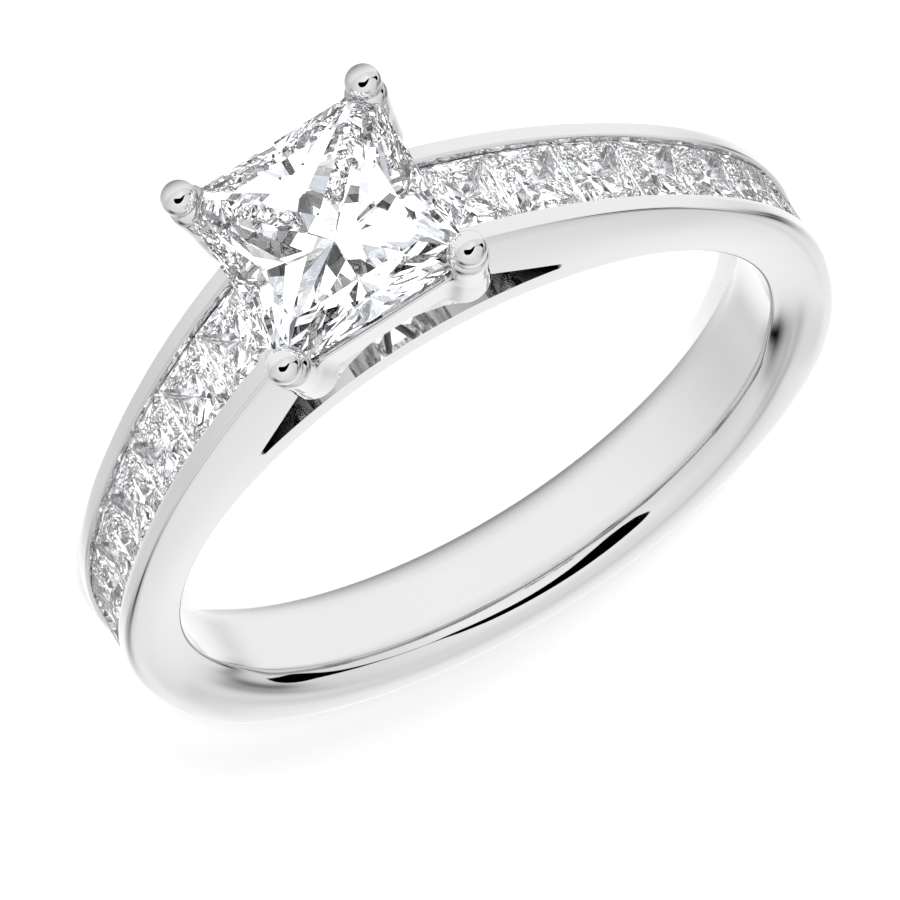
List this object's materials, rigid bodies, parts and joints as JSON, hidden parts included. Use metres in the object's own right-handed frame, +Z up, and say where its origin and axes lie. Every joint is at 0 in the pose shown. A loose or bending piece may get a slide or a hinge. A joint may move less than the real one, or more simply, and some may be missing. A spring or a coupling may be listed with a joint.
{
  "type": "solitaire engagement ring",
  "caption": "Finger ring with a square faceted stone in a raised four-claw head, on a band with open shoulders channel-set with small square stones and a smooth domed palm",
  "frame": {"origin": "centre of the finger hole, halfway across the band's width", "axes": "the ring lies on its side: +Z up, -Y towards the head and its stone, +X to the right when the head points towards the viewer"},
  "size_m": [0.0196, 0.0246, 0.006],
  "materials": {
    "white_gold": "polished",
    "centre_diamond": "faceted, polished",
    "channel_diamond": "faceted, polished"
  },
  "bodies": {
    "root": {"ring_mount": "white_gold", "centre_stone": "centre_diamond", "left_stone_1": "channel_diamond", "left_stone_2": "channel_diamond", "left_stone_3": "channel_diamond", "left_stone_4": "channel_diamond", "left_stone_5": "channel_diamond", "left_stone_6": "channel_diamond", "left_stone_7": "channel_diamond", "right_stone_1": "channel_diamond", "right_stone_2": "channel_diamond", "right_stone_3": "channel_diamond", "right_stone_4": "channel_diamond", "right_stone_5": "channel_diamond", "right_stone_6": "channel_diamond", "right_stone_7": "channel_diamond"}
  },
  "joints": []
}
